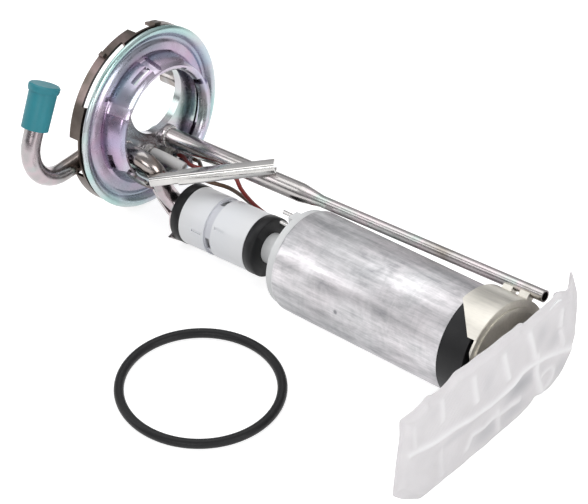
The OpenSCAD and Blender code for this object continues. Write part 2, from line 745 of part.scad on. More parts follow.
module magnets() {
    color("black") for (a = [20, 200])
        on_pump(stack_s - 3) rotate([0, 0, a]) rotate_extrude(angle = 140)
            translate([armature_r + 0.7, 0]) square([bore_r - 1.7 - armature_r - 0.7, stack_l + 6]);
}

module armature_core() {
    color("slategray") on_pump(stack_s) difference() {
        cylinder(r = armature_r, h = stack_l);
        translate([0, 0, -1]) cylinder(r = shaft_r, h = stack_l + 2);
        for (i = [0 : armature_slots - 1]) rotate([0, 0, i * 360 / armature_slots]) {
            translate([7.5, -1.4, -1]) cube([armature_r - 9.3, 2.8, stack_l + 2]);
            translate([armature_r - 3, -0.7, -1]) cube([4, 1.4, stack_l + 2]);
        }
    }
}

module windings() {
    color("orangered") {
        for (s = [stack_s - 4, stack_s + stack_l]) on_pump(s) ring(armature_r - 2.2, 6.6, 4);
        on_pump(stack_s - 0.5) for (i = [0 : armature_slots - 1])
            rotate([0, 0, i * 360 / armature_slots])
                translate([7.6, -1.3, 0]) cube([armature_r - 9.8, 2.6, stack_l + 1]);
    }
}

module commutator() {
    color("peru") on_pump(20.6) difference() {
        union() {
            cylinder(r = commutator_r, h = 9);
            translate([0, 0, 8.6]) cylinder(r = 6.4, h = stack_s - 20.6 - 8.6);
        }
        translate([0, 0, -1]) cylinder(r = shaft_r, h = 20);
        for (i = [0 : armature_slots - 1]) rotate([0, 0, (i + 0.5) * 360 / armature_slots])
            translate([commutator_r - 1, -0.25, -1]) cube([2, 0.5, 8.6]);
    }
}

module motor_shaft() {
    color("silver") on_pump(15.4) cylinder(r = shaft_r, h = chamber_s + 3.4 - 15.4);
}

// Carbon block whose inner end follows the commutator
module brush() {
    difference() {
        translate([commutator_r - 1, -2.1, 0.1]) cube([7.4, 4.2, 5.4]);
        translate([0, 0, -1]) cylinder(r = commutator_r + 0.05, h = 8);
    }
}

module brush_positive() {
    color("dimgray") on_pump(20.4) brush();
}

module brush_negative() {
    color("dimgray") on_pump(20.4) rotate([0, 0, 180]) brush();
}

module brush_springs() {
    color("gold") for (side = [0, 180]) on_pump(23.2) rotate([0, 0, side])
        for (i = [0 : 2]) translate([commutator_r + 6.9 + i * 1.1, 0, 0]) rotate([0, 90, 0])
            rotate_extrude() translate([1.5, 0]) circle(r = 0.3);
}

module top_bearing() {
    color("darkgoldenrod") on_pump(shell_s + 1.2) ring(4.5, shaft_r + shaft_fit, 5.2);
}

module bottom_bearing() {
    color("darkgoldenrod") on_pump(plate_s) ring(5, shaft_r + shaft_fit, 8);
}

module pump_plate() {
    color("lightgray") on_pump(plate_s) difference() {
        cylinder(r = bore_r, h = plate_l);
        translate([0, 0, -1]) cylinder(r = 5, h = 9);
        translate([0, 0, 5]) cylinder(r = shaft_r + 0.4, h = 9);
        translate([0, -13.6, -1]) cylinder(r = 2.2, h = plate_l + 2);
    }
}

module impeller() {
    color("burlywood") on_pump(chamber_s + 0.25) difference() {
        cylinder(r = impeller_r, h = chamber_l - 0.5);
        translate([0, 0, -1]) cylinder(r = shaft_r, h = 8);
        for (i = [0 : vane_count - 1]) rotate([0, 0, i * 360 / vane_count])
            translate([impeller_r - 2.6, -0.9, -1]) cube([4, 1.8, chamber_l + 2]);
        for (a = [45 : 90 : 315]) rotate([0, 0, a]) translate([7.5, 0, -1]) cylinder(r = 1.4, h = 8);
    }
}

module inlet_cover() {
    color("black") on_pump(chamber_s) difference() {
        union() {
            cylinder(r = bore_r, h = shell_end - chamber_s);
            translate([0, 0, 10]) cylinder(r = bore_r - 0.4, h = plug_end - chamber_s - 10);
            cylinder(r = spigot_r, h = sock_s - 2.4 - chamber_s);
        }
        translate([0, 0, -1]) cylinder(r = impeller_r + 0.4, h = chamber_l + 1);
        translate([0, 0, 9]) cylinder(r = spigot_r - 1.6, h = 40);
        translate([-2.2, -2.2, 9]) cube([4.4, 15.8, 5]);
        translate([0, 13.6, 2]) cylinder(r = 2.2, h = 12);
    }
}

module rubber_isolator() {
    color("black") {
        on_pump(shell_end - 3.4) ring(saddle_in, shell_r, 3.4);
        on_pump(shell_end) ring(saddle_in, bore_r - 0.4, plug_end - shell_end);
        on_pump(plug_end) ring(saddle_in, spigot_r + 1, 1.4);
        on_pump(plug_end) ring(saddle_in - 5, spigot_r + 1, wall_s - plug_end);
    }
}

module lower_bracket() {
    color("tan") difference() {
        union() {
            on_pump(saddle_s) sector(4, 132, saddle_in, saddle_out, wall_end - saddle_s - 0.2);
            on_pump(wall_s) cylinder(r = saddle_out - 0.3, h = wall_end - wall_s);
            // raised bead round the end wall
            on_pump(wall_end - 0.2) sector(24, 150, saddle_out - 4.4, saddle_out - 3, 0.7);
            // brazing lands under the return pipe
            for (s = [1, 9]) on_pump(saddle_s + s) rotate([0, 0, 90 + 38.6])
                translate([saddle_out - 0.5, -2, 0]) cube([3, 4, 4.5]);
        }
        assembly() axial(joint_x + saddle_s - 10, return_y, return_z)
            cylinder(r = return_thin_r, h = 40);
        on_pump(wall_s - 1) cylinder(r = spigot_r + 1, h = 4);
        on_pump(wall_s - 1) translate([9, -30, 0]) cube([30, 60, 4]);
        // slanting front corner of the saddle
        on_pump(saddle_s) translate([-30, -4, 0]) rotate([-46, 0, 0]) translate([0, -40, -40])
            cube([40, 40, 40]);
    }
}

sock_outline = [
    [-sock_left, -17], [16 - sock_left, -sock_bottom], [sock_right - 18, -sock_bottom],
    [sock_right - 9, 3 - sock_bottom], [sock_right - 1, 5.4 - sock_bottom],
    [sock_right, -6], [sock_right - 2, 11], [sock_right - 8.6, sock_top + 4],
    [15.6, sock_top - 3], [-20, sock_top], [5 - sock_left, sock_top], [-sock_left, sock_top - 2.6]
];
rib_t = 1.2;

module sock_shape(ky, kz) {
    scale([ky, kz]) polygon(sock_outline);
}

module strainer_frame() {
    color("whitesmoke") union() {
        on_sock() along_x(-1.3, 2.6) intersection() {
            sock_shape(0.79, 0.67);
            union() {
                difference() {
                    sock_shape(0.79, 0.67);
                    sock_shape(0.74, 0.58);
                }
                for (y = [-42, -26, -12, 12, 24]) translate([y, -30]) square([rib_t, 60]);
                for (z = [-9, 7]) translate([-70, z]) square([120, rib_t]);
                circle(r = 9);
            }
        }
        on_pump(wall_end + 0.7) ring(8, spigot_r, sock_s - 1.2 - wall_end - 0.7);
    }
}

module strainer_sock() {
    color("white") difference() {
        union() {
            on_sock() along_x(-seam_half_t, 2 * seam_half_t) sock_shape(1, 1);
            on_sock() along_x(seam_half_t, sock_half_t - seam_half_t) sock_shape(0.9, 0.82);
            on_sock() along_x(-sock_half_t, sock_half_t - seam_half_t) sock_shape(0.9, 0.82);
        }
        on_sock() along_x(-1.3, 2.6) sock_shape(0.79, 0.67);
        on_pump(sock_s - 8) cylinder(r = 8, h = 8);
    }
}

module strainer_clip() {
    color("silver") on_pump(wall_end + 0.1) difference() {
        cylinder(r = 9.4, h = 0.6);
        translate([0, 0, -1]) cylinder(r = spigot_r, h = 3);
        for (a = [0 : 60 : 300]) rotate([0, 0, a]) translate([spigot_r - 1, -0.4, -1]) cube([2.6, 0.8, 3]);
    }
}

module o_ring() {
    color("black") translate([seal_x + shift_x, seal_y + shift_y, seal_cord_r])
        rotate_extrude() translate([seal_r, 0]) circle(r = seal_cord_r);
}

mounting_flange();
sender_dish();
lock_ring();
feed_pipe();
feed_tube();
feed_cap();
return_pipe();
return_nipple();
brace_channel();
damper_bracket();
terminal_positive();
terminal_negative();
terminal_insulators();
vent_hose();
vent_ferrule();
wire_red();
wire_brown();
boot_inlet();
boot_outlet();
damper_housing_inlet();
damper_housing_outlet();
damper_bellows();
outlet_cover();
cover_terminals();
check_valve();
check_spring();
pump_shell();
flux_ring();
magnets();
armature_core();
windings();
commutator();
motor_shaft();
brush_positive();
brush_negative();
brush_springs();
top_bearing();
bottom_bearing();
impeller();
pump_plate();
inlet_cover();
rubber_isolator();
lower_bracket();
strainer_frame();
strainer_sock();
strainer_clip();
o_ring();
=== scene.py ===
"""Looks of the in-tank fuel pump assembly: finishes, fabric strainer, trim, table, light and camera."""

import json
import math

import bpy
from mathutils import Matrix, Vector

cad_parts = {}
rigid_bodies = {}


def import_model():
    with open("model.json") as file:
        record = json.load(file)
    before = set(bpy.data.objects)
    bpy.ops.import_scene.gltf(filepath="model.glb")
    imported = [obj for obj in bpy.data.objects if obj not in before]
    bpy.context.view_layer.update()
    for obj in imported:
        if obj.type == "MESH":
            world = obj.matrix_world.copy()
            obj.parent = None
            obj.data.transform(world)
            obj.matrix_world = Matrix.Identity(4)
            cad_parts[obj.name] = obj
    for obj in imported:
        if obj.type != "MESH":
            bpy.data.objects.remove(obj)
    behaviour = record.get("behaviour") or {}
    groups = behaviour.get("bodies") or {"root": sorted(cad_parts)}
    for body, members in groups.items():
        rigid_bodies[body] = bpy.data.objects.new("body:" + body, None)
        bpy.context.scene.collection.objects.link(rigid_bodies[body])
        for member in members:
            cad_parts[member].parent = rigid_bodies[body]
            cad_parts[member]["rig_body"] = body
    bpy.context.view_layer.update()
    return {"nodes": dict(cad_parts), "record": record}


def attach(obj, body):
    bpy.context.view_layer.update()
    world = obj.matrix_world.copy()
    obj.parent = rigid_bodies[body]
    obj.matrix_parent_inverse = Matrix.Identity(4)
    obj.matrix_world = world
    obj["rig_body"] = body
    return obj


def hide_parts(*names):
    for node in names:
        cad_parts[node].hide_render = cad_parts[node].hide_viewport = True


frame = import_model()

MM = 0.001
PITCH = math.radians(6.35688)
PUMP_LEAN = math.radians(2.5)
SOCK_LEAN = math.radians(8.65)
FLANGE_SHIFT = Vector((-93.6307, 36.7, 39.8447)) * MM
PUMP_JOINT = Vector((80, -10.4, -28.8)) * MM
SOCK_CENTRE = Vector((201.185, -15.691, -28.8)) * MM

HANGER = Matrix.Translation(FLANGE_SHIFT) @ Matrix.Rotation(-PITCH, 4, "Y")
SOCK = HANGER @ Matrix.Translation(SOCK_CENTRE) @ Matrix.Rotation(SOCK_LEAN, 4, "Y")

# Camera

camera = bpy.data.objects.new("camera", bpy.data.cameras.new("camera"))
camera.location = (0.59097, -0.66656, 0.78692)
camera.rotation_euler = tuple(math.radians(a) for a in (50.066, -0.099, 40.818))
camera.data.sensor_width = 36
camera.data.lens = 181.63
camera.data.clip_start = 0.01
bpy.context.scene.collection.objects.link(camera)
bpy.context.scene.camera = camera
bpy.context.scene.view_settings.view_transform = "Standard"


# Writing of material nodes

MATH_NAMES = {"+": "ADD", "-": "SUBTRACT", "*": "MULTIPLY"}


class Out:
    """The output of a node, which can be reckoned with: numbers, colours or vectors."""

    def __init__(self, finish, socket):
        self.finish, self.socket = finish, socket

    def _with(self, other, sign, turned=False):
        a, b = (other, self) if turned else (self, other)
        name = MATH_NAMES[sign]
        if self.socket.type == "RGBA":
            return self.finish.node(
                "ShaderNodeMix", {"data_type": "RGBA", "blend_type": name}, {0: 1.0, 6: a, 7: b}, 2
            )
        kind = "ShaderNodeVectorMath" if self.socket.type == "VECTOR" else "ShaderNodeMath"
        return self.finish.node(kind, {"operation": name}, {0: a, 1: b})

    def __add__(self, other):
        return self._with(other, "+")

    def __sub__(self, other):
        return self._with(other, "-")

    def __mul__(self, other):
        return self._with(other, "*")

    def __radd__(self, other):
        return self._with(other, "+", True)

    def __rsub__(self, other):
        return self._with(other, "-", True)

    def __rmul__(self, other):
        return self._with(other, "*", True)


class Finish:
    """A material that is written node by node."""

    def __init__(self, name):
        self.material = bpy.data.materials.new(name)
        self.material.use_nodes = True
        self.tree = self.material.node_tree
        self.tree.nodes.clear()
        self.shader = self.tree.nodes.new("ShaderNodeBsdfPrincipled")
        self.end = self.tree.nodes.new("ShaderNodeOutputMaterial")
        self.tree.links.new(self.shader.outputs[0], self.end.inputs[0])

    def put(self, socket, value):
        if isinstance(value, Out):
            self.tree.links.new(value.socket, socket)
        elif isinstance(value, tuple) and socket.type == "RGBA":
            socket.default_value = (*value[:3], 1.0)
        else:
            socket.default_value = value

    def node(self, kind, settings=None, inputs=None, out=0):
        made = self.tree.nodes.new(kind)
        for key, value in (settings or {}).items():
            setattr(made, key, value)
        for key, value in (inputs or {}).items():
            self.put(made.inputs[key], value)
        return Out(self, made.outputs[out])

    def at(self, *frames):
        spot = self.node("ShaderNodeTexCoord", out=3)
        for where, turn in frames:
            spot = self.node(
                "ShaderNodeMapping", {"vector_type": "TEXTURE"}, {0: spot, 1: where, 2: turn}
            )
        return spot

    def stretch(self, spot, scale):
        return self.node("ShaderNodeMapping", {"vector_type": "POINT"}, {0: spot, 3: scale})

    def noise(self, spot, scale, detail=3.0, rough=0.55, warp=0.0):
        return self.node(
            "ShaderNodeTexNoise", None,
            {"Vector": spot, "Scale": scale, "Detail": detail, "Roughness": rough, "Distortion": warp},
        )

    def fit(self, value, low, high, to_low=0.0, to_high=1.0):
        return self.node(
            "ShaderNodeMapRange", {"clamp": True},
            {0: value, 1: low, 2: high, 3: to_low, 4: to_high},
        )

    def ramp(self, value, stops, smooth=False):
        out = self.node("ShaderNodeValToRGB", None, {0: value})
        bar = out.socket.node.color_ramp
        bar.interpolation = "EASE" if smooth else "LINEAR"
        while len(bar.elements) < len(stops):
            bar.elements.new(0.5)
        for element, (spot, colour) in zip(bar.elements, stops):
            element.position, element.color = spot, (*colour, 1.0)
        return out

    def blend(self, share, a, b):
        return self.node("ShaderNodeMix", {"data_type": "RGBA"}, {0: share, 6: a, 7: b}, 2)

    def split(self, spot):
        node = self.node("ShaderNodeSeparateXYZ", None, {0: spot}).socket.node
        return [Out(self, node.outputs[i]) for i in range(3)]

    def reckon(self, name, *values):
        return self.node("ShaderNodeMath", {"operation": name}, dict(enumerate(values)))

    def bump(self, height, depth):
        return self.node("ShaderNodeBump", None, {"Height": height, "Strength": 1.0, "Distance": depth})

    def done(self, **inputs):
        for key, value in inputs.items():
            self.put(self.shader.inputs[key.replace("_", " ")], value)
        return self.material


SHELL_SPECK = (0.0482, -0.0214, 0.0032)
SHELL_RADIUS = 0.0216
DAMPER_GROOVE_AT, DAMPER_MIDDLE_AT = 0.0484, 0.0505
FLANGE_COLLAR_R, FLANGE_RIM_R = 0.022, 0.041
WEAVE_PITCH = 0.0006
HANGER_FRAME = (tuple(FLANGE_SHIFT), (0, -PITCH, 0))
PUMP_FRAME = (tuple(PUMP_JOINT), (0, 0, -PUMP_LEAN))


# Finishes

def zinc(name, bands, rough=0.25):
    """Zinc plate with an iridescent passivation that changes with the distance from the flange axis."""
    f = Finish(name)
    spot = f.at(HANGER_FRAME)
    _, y, z = f.split(spot)
    radius = f.reckon("SQRT", y * y + z * z)
    cloud = f.noise(spot, 45.0, 3.0, 0.5, 0.6)
    tint = f.ramp(f.fit(radius + (cloud - 0.5) * 0.004, FLANGE_COLLAR_R, FLANGE_RIM_R), bands, True)
    patch = f.ramp(f.noise(f.stretch(spot, (1.0, 1.0, 1.6)), 26.0, 2.0), [
        (0.36, (0.80, 0.96, 0.93)), (0.47, (0.98, 0.97, 0.98)), (0.55, (1.0, 0.88, 0.94)),
        (0.66, (0.88, 0.90, 1.0)),
    ])
    grain = f.noise(spot, 1400.0, 4.0, 0.6)
    wear = f.noise(spot, 160.0, 4.0, 0.6)
    return f.done(
        Base_Color=tint * patch, Metallic=1.0,
        Roughness=f.fit(wear, 0.3, 0.7, rough - 0.05, rough + 0.1),
        Normal=f.bump(grain * 0.3 + wear, 0.000006),
    )


def steel(name, tone, rough, frames, streak=(1.0, 1.0, 1.0), tints=None, line_depth=0.000008,
          faint=0.86):
    """Plated or bare steel with fine drawing lines along the first stretch axis."""
    f = Finish(name)
    spot = f.at(*frames)
    lines = f.noise(f.stretch(spot, streak), 900.0, 3.0, 0.65)
    cloud = f.noise(spot, 60.0, 3.0, 0.5, 0.4)
    tint = f.ramp(cloud, tints or [(0.3, tone), (0.7, tuple(c * 0.92 for c in tone))])
    return f.done(
        Base_Color=tint * f.ramp(lines, [(0.3, (faint,) * 3), (0.7, (1.0, 1.0, 1.0))]),
        Metallic=1.0,
        Roughness=f.fit(lines, 0.3, 0.7, rough - 0.05, rough + 0.09),
        Normal=f.bump(lines + cloud, line_depth),
    )


def soft(name, tone, rough, speck=0.04, grain_size=700.0, depth=0.00003, shine=0.5):
    """Plastic, rubber and other moulded stuff with a fine matt skin and slight staining."""
    f = Finish(name)
    spot = f.at()
    grain = f.noise(spot, grain_size, 4.0, 0.6)
    cloud = f.noise(spot, 70.0, 3.0, 0.5, 0.3)
    dark = tuple(c * (1.0 - 2.2 * speck) for c in tone)
    tint = f.blend(f.fit(cloud, 0.35, 0.7), tone, dark)
    return f.done(
        Base_Color=tint * f.ramp(grain, [(0.3, (1 - speck,) * 3), (0.7, (1.0, 1.0, 1.0))]),
        Roughness=f.fit(grain + cloud, 0.6, 1.4, rough - 0.06, rough + 0.1),
        Normal=f.bump(grain, depth),
        Specular_IOR_Level=shine,
    )


def milky_plastic(name):
    """Milky moulded plastic with painted shade that greys it in the groove between the damper halves."""
    f = Finish(name)
    spot = f.at(HANGER_FRAME)
    along, _, _ = f.split(spot)
    grain = f.noise(spot, 500.0, 4.0, 0.6)
    cloud = f.noise(spot, 60.0, 3.0, 0.5, 0.5)
    # Painted shade: a grey band in the recessed groove between the damper halves.
    groove_painted_shade = f.fit(f.reckon("ABSOLUTE", along - DAMPER_GROOVE_AT), 0.0017, 0.0023, 1.0, 0.0)
    ends = f.fit(f.reckon("ABSOLUTE", along - DAMPER_MIDDLE_AT), 0.006, 0.020)
    body = f.blend(cloud, (0.72, 0.73, 0.735), (0.80, 0.80, 0.805)) * f.ramp(
        ends, [(0.0, (0.97, 0.98, 1.0)), (1.0, (1.0, 1.0, 1.0))])
    return f.done(
        # The groove's painted shade turns the body grey-blue there.
        Base_Color=f.blend(groove_painted_shade, body, (0.60, 0.61, 0.65)),
        Roughness=f.fit(grain + cloud, 0.6, 1.4, 0.26, 0.42),
        Normal=f.bump(grain + cloud, 0.00002),
    )


def brushed_shell(name):
    """Satin aluminium tube with lengthwise drawing lines, scuffs, grey smears, one dark speck and painted
    shade that darkens it below the top.
    """
    f = Finish(name)
    spot = f.at(HANGER_FRAME, PUMP_FRAME)
    fine = f.noise(f.stretch(spot, (0.07, 1.0, 1.0)), 1300.0, 3.0, 0.7)
    long = f.noise(f.stretch(spot, (0.10, 1.0, 1.0)), 230.0, 4.0, 0.65, 0.3)
    smear = f.noise(f.stretch(spot, (0.34, 1.0, 1.0)), 78.0, 6.0, 0.68, 0.7)
    cross = f.noise(f.stretch(spot, (1.0, 0.6, 0.6)), 210.0, 4.0, 0.65, 0.9)
    _, _, height = f.split(spot)
    # Painted shade by height: lightest on top, darkest a little below the middle, somewhat lighter again at
    # the bottom.
    painted_shade_by_height = f.fit(height, -SHELL_RADIUS, 0.005)
    tone = f.ramp(smear * 0.42 + long * 0.32 + cross * 0.14 + fine * 0.12, [
        (0.39, (0.34, 0.34, 0.36)), (0.47, (0.53, 0.53, 0.54)), (0.53, (0.67, 0.66, 0.675)),
        (0.60, (0.84, 0.83, 0.845)),
    ])
    warm = f.blend(f.fit(f.noise(spot, 34.0, 2.0), 0.45, 0.7, 0.0, 0.6), tone, tone * (1.0, 0.95, 0.96))
    shade = warm * f.ramp(painted_shade_by_height, [
        (0.0, (0.84, 0.84, 0.85)), (0.4, (0.68, 0.68, 0.69)), (1.0, (1.0, 1.0, 1.0)),
    ])
    speck = f.node("ShaderNodeVectorMath", {"operation": "DISTANCE"}, {0: spot, 1: SHELL_SPECK}, 1)
    return f.done(
        Base_Color=f.blend(f.fit(speck, 0.0006, 0.0012, 0.75, 0.0), shade, (0.16, 0.16, 0.18)),
        Metallic=0.86,
        Roughness=f.fit(fine * 0.4 + smear * 0.6, 0.35, 0.65, 0.50, 0.34),
        Normal=f.bump(fine + long * 2.0 + cross * 2.0, 0.00005),
    )


def mesh_fabric(name):
    """Fine filter mesh of the strainer, laid out by its own flat map in metres."""
    f = Finish(name)
    flat = f.node("ShaderNodeUVMap", {"uv_map": "cloth"})
    u, v, _ = f.split(flat)
    over = f.reckon("SINE", u * (math.tau / WEAVE_PITCH))
    under = f.reckon("SINE", v * (math.tau / WEAVE_PITCH))
    weave = f.reckon("MULTIPLY", over, under)
    # The rib mark: lighter over the ribs, partly the white frame showing through and partly painted
    # highlight; below zero, painted shade in the pockets.
    rib = f.node("ShaderNodeAttribute", {"attribute_name": "rib"}, out=2)
    cloud = f.noise(flat, 55.0, 3.0, 0.5, 0.4)
    plain = f.ramp(cloud, [(0.35, (0.70, 0.68, 0.69)), (0.7, (0.77, 0.75, 0.76))])
    pocket = f.fit(rib, -1.0, 0.0, 1.0, 0.0)
    cloth = f.blend(f.fit(rib, 0.0, 1.0), f.blend(pocket, plain, (0.42, 0.42, 0.44)), (0.88, 0.87, 0.875))
    return f.done(
        Base_Color=cloth * f.ramp(weave * 0.5 + 0.5, [(0.0, (0.94, 0.94, 0.94)), (1.0, (1.0, 1.0, 1.0))]),
        Roughness=f.fit(cloud, 0.3, 0.7, 0.5, 0.66),
        Normal=f.bump(weave + f.noise(flat, 900.0) * 0.6, 0.00005),
    )


STEEL_TINTS = [
    (0.3, (0.38, 0.35, 0.32)), (0.45, (0.50, 0.48, 0.47)), (0.56, (0.58, 0.52, 0.53)),
    (0.7, (0.47, 0.52, 0.49)),
]
finishes = {
    "zinc": zinc("zinc", [
        (0.0, (0.56, 0.60, 0.60)), (0.20, (0.50, 0.49, 0.56)), (0.34, (0.43, 0.36, 0.46)),
        (0.56, (0.43, 0.37, 0.45)), (0.66, (0.34, 0.36, 0.43)), (0.76, (0.42, 0.48, 0.52)),
        (0.88, (0.50, 0.59, 0.59)), (1.0, (0.50, 0.57, 0.54)),
    ]),
    "zinc_dish": zinc("zinc_dish", [(0.0, (0.52, 0.57, 0.56)), (1.0, (0.56, 0.57, 0.59))], 0.2),
    "zinc_brown": steel("zinc_brown", (0.24, 0.20, 0.18), 0.36, [HANGER_FRAME], (1.0, 1.0, 1.0), [
        (0.3, (0.10, 0.08, 0.07)), (0.5, (0.15, 0.125, 0.11)), (0.68, (0.32, 0.245, 0.235)),
    ]),
    "pipe_steel": steel(
        "pipe_steel", (0.8, 0.78, 0.78), 0.19, [HANGER_FRAME], (0.08, 1.0, 1.0), STEEL_TINTS, 0.000003
    ),
    "hook_steel": steel("hook_steel", (0.8, 0.78, 0.8), 0.2, [HANGER_FRAME], (0.3, 0.3, 0.3), [
        (0.3, (0.26, 0.20, 0.17)), (0.45, (0.38, 0.37, 0.37)), (0.55, (0.48, 0.41, 0.43)),
        (0.68, (0.37, 0.45, 0.43)),
    ], 0.000003, 0.96),
    "bright_steel": steel(
        "bright_steel", (0.74, 0.73, 0.72), 0.13, [HANGER_FRAME], (0.3, 0.3, 0.3), [
            (0.3, (0.52, 0.51, 0.50)), (0.7, (0.64, 0.63, 0.61)),
        ], 0.000001, 0.98
    ),
    "bracket_steel": steel("bracket_steel", (0.5, 0.48, 0.43), 0.38, [HANGER_FRAME], (0.1, 1.0, 1.0), [
        (0.3, (0.68, 0.655, 0.59)), (0.7, (0.82, 0.79, 0.72)),
    ]),
    "cap_teal": soft("cap_teal", (0.016, 0.215, 0.262), 0.46, 0.06, 900.0),
    "rubber_black": soft("rubber_black", (0.009, 0.009, 0.010), 0.42, 0.12, 800.0, 0.00004, shine=0.3),
    "plastic_white": soft("plastic_white", (0.69, 0.70, 0.70), 0.34, 0.02, 500.0, 0.00002),
    "damper_white": milky_plastic("damper_white"),
    "shell_aluminium": brushed_shell("shell_aluminium"),
    "brass": steel("brass", (0.60, 0.44, 0.20), 0.26, [HANGER_FRAME]),
    "tin": steel("tin", (0.62, 0.61, 0.60), 0.24, [HANGER_FRAME]),
    "nylon": soft("nylon", (0.70, 0.69, 0.64), 0.36, 0.03),
    "wire_red": soft("wire_red", (0.24, 0.018, 0.012), 0.34, 0.06, 900.0),
    "wire_brown": soft("wire_brown", (0.09, 0.045, 0.022), 0.38, 0.08, 900.0),
    "hose_grey": soft("hose_grey", (0.66, 0.65, 0.64), 0.5, 0.05, 900.0),
    "core_steel": steel("core_steel", (0.40, 0.41, 0.43), 0.34, [HANGER_FRAME, PUMP_FRAME]),
    "copper": steel("copper", (0.80, 0.42, 0.26), 0.3, [HANGER_FRAME, PUMP_FRAME], (0.1, 1.0, 1.0)),
    "magnet": soft("magnet", (0.05, 0.05, 0.055), 0.55, 0.1),
    "carbon": soft("carbon", (0.045, 0.045, 0.05), 0.5, 0.1),
    "bronze": steel("bronze", (0.66, 0.46, 0.26), 0.34, [HANGER_FRAME, PUMP_FRAME]),
    "resin": soft("resin", (0.50, 0.33, 0.14), 0.4, 0.06),
    "frame_white": soft("frame_white", (0.82, 0.82, 0.83), 0.4, 0.02),
}
sock_fabric = mesh_fabric("sock_fabric")

OWN_FINISH = {
    "sender_dish": "zinc_dish", "feed_pipe": "hook_steel", "feed_tube": "hook_steel",
    "terminal_positive": "tin", "terminal_negative": "tin", "cover_terminals": "tin",
    "return_nipple": "hook_steel", "brace_channel": "bright_steel", "damper_housing_inlet": "damper_white",
    "damper_housing_outlet": "damper_white", "damper_bellows": "frame_white",
}
slot_of = {part["node"]: part["material_slot"] for part in frame["record"]["subparts"]}


def paint(thing, material):
    thing.data.materials.clear()
    thing.data.materials.append(material)


# Pieces

def mesh_piece(name, points, faces, material, body):
    mesh = bpy.data.meshes.new(name)
    mesh.from_pydata([tuple(p) for p in points], [], faces)
    mesh.validate()
    mesh.update()
    mesh.shade_smooth()
    thing = bpy.data.objects.new(name, mesh)
    bpy.context.scene.collection.objects.link(thing)
    mesh.materials.append(material)
    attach(thing, body)
    return thing


def joined(points, faces):
    """The points without doubles, the faces on them, and for each kept point its first old place."""
    index, kept, first, places = {}, [], [], []
    for number, point in enumerate(points):
        key = tuple(round(c, 7) for c in point)
        if key not in index:
            index[key] = len(kept)
            kept.append(key)
            first.append(number)
        places.append(index[key])
    found = []
    for face in faces:
        corners = [places[i] for i in face]
        corners = [c for i, c in enumerate(corners) if c != corners[i - 1]]
        if len(set(corners)) > 2:
            found.append(corners)
    return kept, found, first


# Outline of the strainer in its own plane, in mm from the pump axis
SOCK_OUTLINE = [
    (30.9, 26.8), (32.6, 23.6), (34.4, 19.2), (37.4, 11.4), (39.0, 2.0), (39.4, -6.6), (39.9, -13.6),
    (38.9, -17.6), (38.6, -21.4), (35.2, -26.2), (30.8, -29.4), (25.6, -31.0), (21.6, -31.8),
    (17.6, -30.2), (14.6, -29.6), (9.3, -31.9), (3.3, -33.2), (-8.0, -33.3), (-20.0, -33.2),
    (-31.0, -33.4), (-42.0, -33.0), (-54.0, -33.0), (-60.0, -28.6), (-65.4, -24.6), (-71.8, -17.8),
    (-71.4, -8.0), (-71.0, 2.0), (-70.2, 12.4), (-71.2, 21.0), (-67.6, 20.6), (-63.4, 20.3),
    (-58.8, 20.8), (-55.4, 22.6), (-53.4, 20.6), (-47.6, 20.0), (-43.2, 20.9), (-39.4, 23.0),
    (-36.0, 22.2), (-31.0, 21.4), (-26.6, 21.7), (-18.8, 20.7), (-10.8, 20.8), (-4.2, 20.1),
    (-0.4, 20.8), (2.6, 18.2), (10.6, 18.8), (18.8, 19.1), (22.6, 19.9), (25.4, 19.8), (28.0, 17.8),
    (30.6, 16.8), (31.0, 21.0),
]
# Ribs of the frame that show through the fabric, lighter partly from the frame and partly from painted
# highlight: points in the strainer plane in mm, half width, height
SOCK_RIBS = [
    ([(-66.0, 0.8), (-51.0, -3.3), (-40.5, -4.7), (-28.5, -7.2), (-17.7, -8.7), (-9.7, -8.8),
      (-3.1, -7.7), (1.9, -5.0), (7.4, -5.4), (14.5, -6.9), (21.7, -9.1), (35.0, -15.6)], 1.5, 0.95),
    ([(-29.2, -23.4), (-26.6, -17.8), (-19.1, -19.3), (-13.9, -17.8), (-6.3, -19.3), (2.7, -20.5)],
     1.3, 0.7),
    ([(25.5, 10.6), (25.7, 3.0)], 1.2, 0.8), ([(5.1, 12.2), (10.1, -2.7)], 1.5, 1.0),
    ([(11.4, -3.0), (11.8, -11.9), (17.8, -27.0)], 1.6, 0.9), ([(-10.7, 12.4), (-6.3, -2.1)], 1.5, 0.9),
    ([(-28.7, 13.0), (-26.2, 0.2)], 1.5, 0.8), ([(-47.9, 14.8), (-46.4, 4.7)], 1.4, 0.6),
    ([(-11.4, -16.4), (-9.2, -28.0)], 1.3, 0.6), ([(-64.0, 12.0), (-62.6, 2.0)], 1.4, 0.4),
    ([(-46.0, -12.0), (-44.0, -26.0)], 1.4, 0.35), ([(26.0, 0.0), (29.0, -9.0)], 1.3, 0.5),
]
# Slack pockets of the fabric, greyed with painted shade: middle and reach in mm, depth of the painted grey
SOCK_POCKETS = [
    (3.0, -13.0, 9.0, 5.5, 0.9), (-17.0, -23.5, 7.0, 4.5, 0.55), (23.0, -2.0, 6.0, 5.0, 0.35),
    (0.0, -24.0, 8.0, 4.0, 0.45), (30.0, -22.0, 5.0, 5.0, 0.4), (-36.0, -10.5, 12.0, 2.2, 0.3),
    (14.0, 6.0, 4.0, 5.0, 0.3), (-19.0, 3.0, 4.0, 7.0, 0.22),
]
# The round foot of the frame that shows through the fabric, lighter partly from the frame and partly from
# painted highlight: middle and radius in mm
SOCK_FOOT = (19.6, -21.4, 5.2)
# Where the upper right ear of the strainer meets its body, in mm
EAR_ROOT = (33.6, 7.0)
# The corner of the frame that the fabric is drawn over close to its edge, in mm
FRAME_CORNER = (24.2, 17.6)
SOCK_BODY_T = 1.75
SEAM_HALF_T = 0.32
SEAM_W = 2.2


